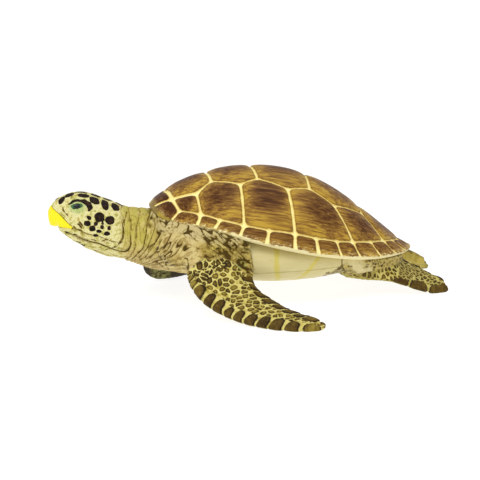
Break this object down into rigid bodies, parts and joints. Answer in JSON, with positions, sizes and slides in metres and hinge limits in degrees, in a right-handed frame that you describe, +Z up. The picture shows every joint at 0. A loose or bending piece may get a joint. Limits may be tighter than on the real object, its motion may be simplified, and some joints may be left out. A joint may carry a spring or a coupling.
{
  "type": "toy sea turtle figure",
  "caption": "Hand-painted plastic toy sea turtle with a domed scuted shell, long neck and hooked beak, standing on spread flippers in a crawling pose.",
  "frame": {"origin": "centre of the figure's box at floor level", "axes": "the head points to -X, the turtle's own left is -Y and +Z is up"},
  "size_m": [0.2748, 0.2516, 0.0889],
  "materials": {
    "carapace": "brown streaked paint over ochre, cream seams, satin",
    "plastron": "ivory paint, satin",
    "skin": "cream and olive paint with dark brown scales, satin",
    "beak": "bright yellow paint, satin",
    "eye": "green iris with a dark pupil, glossy"
  },
  "bodies": {
    "root": {"carapace": "carapace", "plastron": "plastron", "trunk": "skin", "neck": "skin", "head": "skin", "lower_jaw": "skin", "beak": "beak", "eye_left": "eye", "eye_right": "eye", "tail": "skin", "fore_flipper_left": "skin", "fore_flipper_right": "skin", "hind_flipper_left": "skin", "hind_flipper_right": "skin"}
  },
  "joints": []
}
